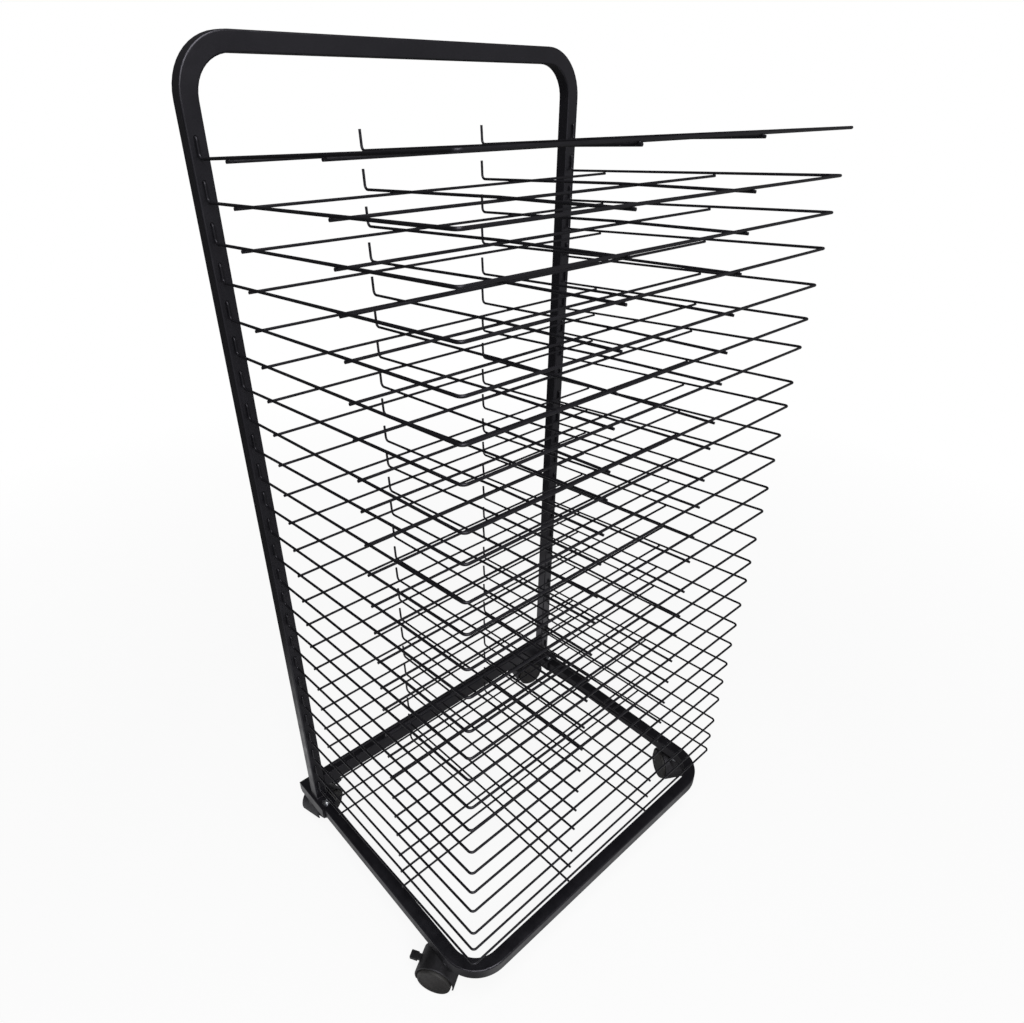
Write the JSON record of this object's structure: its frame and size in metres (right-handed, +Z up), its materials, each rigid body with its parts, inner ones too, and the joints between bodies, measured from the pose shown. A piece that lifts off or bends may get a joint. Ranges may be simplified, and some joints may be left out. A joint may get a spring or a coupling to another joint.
{
  "type": "art drying rack",
  "caption": "Mobile art drying rack: black posts on a U base with braked twin-wheel castors, carrying a tower of wire shelves that hook into the posts and fold up.",
  "frame": {"origin": "centre of the whole rack's footprint, on the floor that the castors stand on", "axes": "+Z up; +X to the right as seen from the open front; -Y is the front, where sheets go in, and the posts are towards +Y"},
  "size_m": [0.5932, 0.4534, 1.113],
  "materials": {
    "frame_paint": "black powder coat, satin",
    "shelf_paint": "black powder coat on steel wire",
    "zinc_steel": "bright zinc plated",
    "castor_plastic": "black moulded nylon",
    "wheel_plastic": "dark grey nylon tread",
    "cap_plastic": "black moulded plug"
  },
  "bodies": {
    "frame": {"post_frame": "frame_paint", "crossbar": "frame_paint", "base_frame": "frame_paint", "foot_left": "frame_paint", "foot_right": "frame_paint", "foot_end_caps": "cap_plastic", "base_bolts": "zinc_steel", "base_washers": "zinc_steel", "base_nuts": "zinc_steel", "castor_stems": "zinc_steel", "castor_weld_nuts": "zinc_steel", "castor_spacers": "zinc_steel"},
    "shelf_01": {"shelf_01": "shelf_paint"},
    "shelf_02": {"shelf_02": "shelf_paint"},
    "shelf_03": {"shelf_03": "shelf_paint"},
    "shelf_04": {"shelf_04": "shelf_paint"},
    "shelf_05": {"shelf_05": "shelf_paint"},
    "shelf_06": {"shelf_06": "shelf_paint"},
    "shelf_07": {"shelf_07": "shelf_paint"},
    "shelf_08": {"shelf_08": "shelf_paint"},
    "shelf_09": {"shelf_09": "shelf_paint"},
    "shelf_10": {"shelf_10": "shelf_paint"},
    "shelf_11": {"shelf_11": "shelf_paint"},
    "shelf_12": {"shelf_12": "shelf_paint"},
    "shelf_13": {"shelf_13": "shelf_paint"},
    "shelf_14": {"shelf_14": "shelf_paint"},
    "shelf_15": {"shelf_15": "shelf_paint"},
    "shelf_16": {"shelf_16": "shelf_paint"},
    "shelf_17": {"shelf_17": "shelf_paint"},
    "shelf_18": {"shelf_18": "shelf_paint"},
    "shelf_19": {"shelf_19": "shelf_paint"},
    "shelf_20": {"shelf_20": "shelf_paint"},
    "shelf_21": {"shelf_21": "shelf_paint"},
    "shelf_22": {"shelf_22": "shelf_paint"},
    "shelf_23": {"shelf_23": "shelf_paint"},
    "shelf_24": {"shelf_24": "shelf_paint"},
    "shelf_25": {"shelf_25": "shelf_paint"},
    "castor_front_left": {"castor_front_left_hood": "castor_plastic", "castor_front_left_axle": "zinc_steel"},
    "castor_front_left_wheel_a": {"castor_front_left_wheel_a": "wheel_plastic"},
    "castor_front_left_wheel_b": {"castor_front_left_wheel_b": "wheel_plastic"},
    "castor_front_left_brake": {"castor_front_left_brake": "castor_plastic"},
    "castor_front_right": {"castor_front_right_hood": "castor_plastic", "castor_front_right_axle": "zinc_steel"},
    "castor_front_right_wheel_a": {"castor_front_right_wheel_a": "wheel_plastic"},
    "castor_front_right_wheel_b": {"castor_front_right_wheel_b": "wheel_plastic"},
    "castor_front_right_brake": {"castor_front_right_brake": "castor_plastic"},
    "castor_rear_left": {"castor_rear_left_hood": "castor_plastic", "castor_rear_left_axle": "zinc_steel"},
    "castor_rear_left_wheel_a": {"castor_rear_left_wheel_a": "wheel_plastic"},
    "castor_rear_left_wheel_b": {"castor_rear_left_wheel_b": "wheel_plastic"},
    "castor_rear_left_brake": {"castor_rear_left_brake": "castor_plastic"},
    "castor_rear_right": {"castor_rear_right_hood": "castor_plastic", "castor_rear_right_axle": "zinc_steel"},
    "castor_rear_right_wheel_a": {"castor_rear_right_wheel_a": "wheel_plastic"},
    "castor_rear_right_wheel_b": {"castor_rear_right_wheel_b": "wheel_plastic"},
    "castor_rear_right_brake": {"castor_rear_right_brake": "castor_plastic"}
  },
  "joints": [
    {"name": "shelf_01_fold", "type": "hinge", "parent": "frame", "child": "shelf_01", "pos_m": [0, 0.16292, 1.0246], "axis": [-1, 0, 0], "range_deg": [0, 60]},
    {"name": "shelf_02_fold", "type": "hinge", "parent": "frame", "child": "shelf_02", "pos_m": [0, 0.16292, 0.9866], "axis": [-1, 0, 0], "range_deg": [0, 60]},
    {"name": "shelf_03_fold", "type": "hinge", "parent": "frame", "child": "shelf_03", "pos_m": [0, 0.16292, 0.9486], "axis": [-1, 0, 0], "range_deg": [0, 60]},
    {"name": "shelf_04_fold", "type": "hinge", "parent": "frame", "child": "shelf_04", "pos_m": [0, 0.16292, 0.9106], "axis": [-1, 0, 0], "range_deg": [0, 60]},
    {"name": "shelf_05_fold", "type": "hinge", "parent": "frame", "child": "shelf_05", "pos_m": [0, 0.16292, 0.8726], "axis": [-1, 0, 0], "range_deg": [0, 60]},
    {"name": "shelf_06_fold", "type": "hinge", "parent": "frame", "child": "shelf_06", "pos_m": [0, 0.16292, 0.8346], "axis": [-1, 0, 0], "range_deg": [0, 60]},
    {"name": "shelf_07_fold", "type": "hinge", "parent": "frame", "child": "shelf_07", "pos_m": [0, 0.16292, 0.7966], "axis": [-1, 0, 0], "range_deg": [0, 60]},
    {"name": "shelf_08_fold", "type": "hinge", "parent": "frame", "child": "shelf_08", "pos_m": [0, 0.16292, 0.7586], "axis": [-1, 0, 0], "range_deg": [0, 60]},
    {"name": "shelf_09_fold", "type": "hinge", "parent": "frame", "child": "shelf_09", "pos_m": [0, 0.16292, 0.7206], "axis": [-1, 0, 0], "range_deg": [0, 60]},
    {"name": "shelf_10_fold", "type": "hinge", "parent": "frame", "child": "shelf_10", "pos_m": [0, 0.16292, 0.6826], "axis": [-1, 0, 0], "range_deg": [0, 60]},
    {"name": "shelf_11_fold", "type": "hinge", "parent": "frame", "child": "shelf_11", "pos_m": [0, 0.16292, 0.6446], "axis": [-1, 0, 0], "range_deg": [0, 60]},
    {"name": "shelf_12_fold", "type": "hinge", "parent": "frame", "child": "shelf_12", "pos_m": [0, 0.16292, 0.6066], "axis": [-1, 0, 0], "range_deg": [0, 60]},
    {"name": "shelf_13_fold", "type": "hinge", "parent": "frame", "child": "shelf_13", "pos_m": [0, 0.16292, 0.5686], "axis": [-1, 0, 0], "range_deg": [0, 60]},
    {"name": "shelf_14_fold", "type": "hinge", "parent": "frame", "child": "shelf_14", "pos_m": [0, 0.16292, 0.5306], "axis": [-1, 0, 0], "range_deg": [0, 60]},
    {"name": "shelf_15_fold", "type": "hinge", "parent": "frame", "child": "shelf_15", "pos_m": [0, 0.16292, 0.4926], "axis": [-1, 0, 0], "range_deg": [0, 60]},
    {"name": "shelf_16_fold", "type": "hinge", "parent": "frame", "child": "shelf_16", "pos_m": [0, 0.16292, 0.4546], "axis": [-1, 0, 0], "range_deg": [0, 60]},
    {"name": "shelf_17_fold", "type": "hinge", "parent": "frame", "child": "shelf_17", "pos_m": [0, 0.16292, 0.4166], "axis": [-1, 0, 0], "range_deg": [0, 60]},
    {"name": "shelf_18_fold", "type": "hinge", "parent": "frame", "child": "shelf_18", "pos_m": [0, 0.16292, 0.3786], "axis": [-1, 0, 0], "range_deg": [0, 60]},
    {"name": "shelf_19_fold", "type": "hinge", "parent": "frame", "child": "shelf_19", "pos_m": [0, 0.16292, 0.3406], "axis": [-1, 0, 0], "range_deg": [0, 60]},
    {"name": "shelf_20_fold", "type": "hinge", "parent": "frame", "child": "shelf_20", "pos_m": [0, 0.16292, 0.3026], "axis": [-1, 0, 0], "range_deg": [0, 60]},
    {"name": "shelf_21_fold", "type": "hinge", "parent": "frame", "child": "shelf_21", "pos_m": [0, 0.16292, 0.2646], "axis": [-1, 0, 0], "range_deg": [0, 60]},
    {"name": "shelf_22_fold", "type": "hinge", "parent": "frame", "child": "shelf_22", "pos_m": [0, 0.16292, 0.2266], "axis": [-1, 0, 0], "range_deg": [0, 60]},
    {"name": "shelf_23_fold", "type": "hinge", "parent": "frame", "child": "shelf_23", "pos_m": [0, 0.16292, 0.1886], "axis": [-1, 0, 0], "range_deg": [0, 60]},
    {"name": "shelf_24_fold", "type": "hinge", "parent": "frame", "child": "shelf_24", "pos_m": [0, 0.16292, 0.1506], "axis": [-1, 0, 0], "range_deg": [0, 60]},
    {"name": "shelf_25_fold", "type": "hinge", "parent": "frame", "child": "shelf_25", "pos_m": [0, 0.16292, 0.1126], "axis": [-1, 0, 0], "range_deg": [0, 60]},
    {"name": "castor_front_left_swivel", "type": "hinge", "parent": "frame", "child": "castor_front_left", "pos_m": [-0.2575, -0.16768, 0.04], "axis": [0, 0, 1], "continuous": true},
    {"name": "castor_front_left_wheel_a_spin", "type": "hinge", "parent": "castor_front_left", "child": "castor_front_left_wheel_a", "pos_m": [-0.25299, -0.1466, 0.02475], "axis": [-0.866, -0.5, 0], "continuous": true},
    {"name": "castor_front_left_wheel_b_spin", "type": "hinge", "parent": "castor_front_left", "child": "castor_front_left_wheel_b", "pos_m": [-0.27801, -0.16105, 0.02475], "axis": [-0.866, -0.5, 0], "continuous": true},
    {"name": "castor_front_left_brake_press", "type": "hinge", "parent": "castor_front_left", "child": "castor_front_left_brake", "pos_m": [-0.274, -0.1391, 0.036], "axis": [-0.866, -0.5, 0], "range_deg": [0, 12]},
    {"name": "castor_front_right_swivel", "type": "hinge", "parent": "frame", "child": "castor_front_right", "pos_m": [0.2575, -0.16768, 0.04], "axis": [0, 0, 1], "continuous": true},
    {"name": "castor_front_right_wheel_a_spin", "type": "hinge", "parent": "castor_front_right", "child": "castor_front_right_wheel_a", "pos_m": [0.27801, -0.16105, 0.02475], "axis": [-0.866, 0.5, 0], "continuous": true},
    {"name": "castor_front_right_wheel_b_spin", "type": "hinge", "parent": "castor_front_right", "child": "castor_front_right_wheel_b", "pos_m": [0.25299, -0.1466, 0.02475], "axis": [-0.866, 0.5, 0], "continuous": true},
    {"name": "castor_front_right_brake_press", "type": "hinge", "parent": "castor_front_right", "child": "castor_front_right_brake", "pos_m": [0.274, -0.1391, 0.036], "axis": [-0.866, 0.5, 0], "range_deg": [0, 12]},
    {"name": "castor_rear_left_swivel", "type": "hinge", "parent": "frame", "child": "castor_rear_left", "pos_m": [-0.2575, 0.19532, 0.04], "axis": [0, 0, 1], "continuous": true},
    {"name": "castor_rear_left_wheel_a_spin", "type": "hinge", "parent": "castor_rear_left", "child": "castor_rear_left_wheel_a", "pos_m": [-0.23848, 0.18517, 0.02475], "axis": [-0.2419, 0.9703, 0], "continuous": true},
    {"name": "castor_rear_left_wheel_b_spin", "type": "hinge", "parent": "castor_rear_left", "child": "castor_rear_left_wheel_b", "pos_m": [-0.24547, 0.21321, 0.02475], "axis": [-0.2419, 0.9703, 0], "continuous": true},
    {"name": "castor_rear_left_brake_press", "type": "hinge", "parent": "castor_rear_left", "child": "castor_rear_left_brake", "pos_m": [-0.22548, 0.2033, 0.036], "axis": [-0.2419, 0.9703, 0], "range_deg": [0, 12]},
    {"name": "castor_rear_right_swivel", "type": "hinge", "parent": "frame", "child": "castor_rear_right", "pos_m": [0.2575, 0.19532, 0.04], "axis": [0, 0, 1], "continuous": true},
    {"name": "castor_rear_right_wheel_a_spin", "type": "hinge", "parent": "castor_rear_right", "child": "castor_rear_right_wheel_a", "pos_m": [0.24547, 0.21321, 0.02475], "axis": [-0.2419, -0.9703, 0], "continuous": true},
    {"name": "castor_rear_right_wheel_b_spin", "type": "hinge", "parent": "castor_rear_right", "child": "castor_rear_right_wheel_b", "pos_m": [0.23848, 0.18517, 0.02475], "axis": [-0.2419, -0.9703, 0], "continuous": true},
    {"name": "castor_rear_right_brake_press", "type": "hinge", "parent": "castor_rear_right", "child": "castor_rear_right_brake", "pos_m": [0.22548, 0.2033, 0.036], "axis": [-0.2419, -0.9703, 0], "range_deg": [0, 12]}
  ],
  "couplings": [
    {"joint": "shelf_02_fold", "follows": "shelf_01_fold", "ratio": 1},
    {"joint": "shelf_03_fold", "follows": "shelf_01_fold", "ratio": 1},
    {"joint": "shelf_04_fold", "follows": "shelf_01_fold", "ratio": 1},
    {"joint": "shelf_05_fold", "follows": "shelf_01_fold", "ratio": 1},
    {"joint": "shelf_06_fold", "follows": "shelf_01_fold", "ratio": 1},
    {"joint": "shelf_07_fold", "follows": "shelf_01_fold", "ratio": 1},
    {"joint": "shelf_08_fold", "follows": "shelf_01_fold", "ratio": 1},
    {"joint": "shelf_09_fold", "follows": "shelf_01_fold", "ratio": 1},
    {"joint": "shelf_10_fold", "follows": "shelf_01_fold", "ratio": 1},
    {"joint": "shelf_11_fold", "follows": "shelf_01_fold", "ratio": 1},
    {"joint": "shelf_12_fold", "follows": "shelf_01_fold", "ratio": 1},
    {"joint": "shelf_13_fold", "follows": "shelf_01_fold", "ratio": 1},
    {"joint": "shelf_14_fold", "follows": "shelf_01_fold", "ratio": 1},
    {"joint": "shelf_15_fold", "follows": "shelf_01_fold", "ratio": 1},
    {"joint": "shelf_16_fold", "follows": "shelf_01_fold", "ratio": 1},
    {"joint": "shelf_17_fold", "follows": "shelf_01_fold", "ratio": 1},
    {"joint": "shelf_18_fold", "follows": "shelf_01_fold", "ratio": 1},
    {"joint": "shelf_19_fold", "follows": "shelf_01_fold", "ratio": 1},
    {"joint": "shelf_20_fold", "follows": "shelf_01_fold", "ratio": 1},
    {"joint": "shelf_21_fold", "follows": "shelf_01_fold", "ratio": 1},
    {"joint": "shelf_22_fold", "follows": "shelf_01_fold", "ratio": 1},
    {"joint": "shelf_23_fold", "follows": "shelf_01_fold", "ratio": 1},
    {"joint": "shelf_24_fold", "follows": "shelf_01_fold", "ratio": 1},
    {"joint": "shelf_25_fold", "follows": "shelf_01_fold", "ratio": 1}
  ]
}
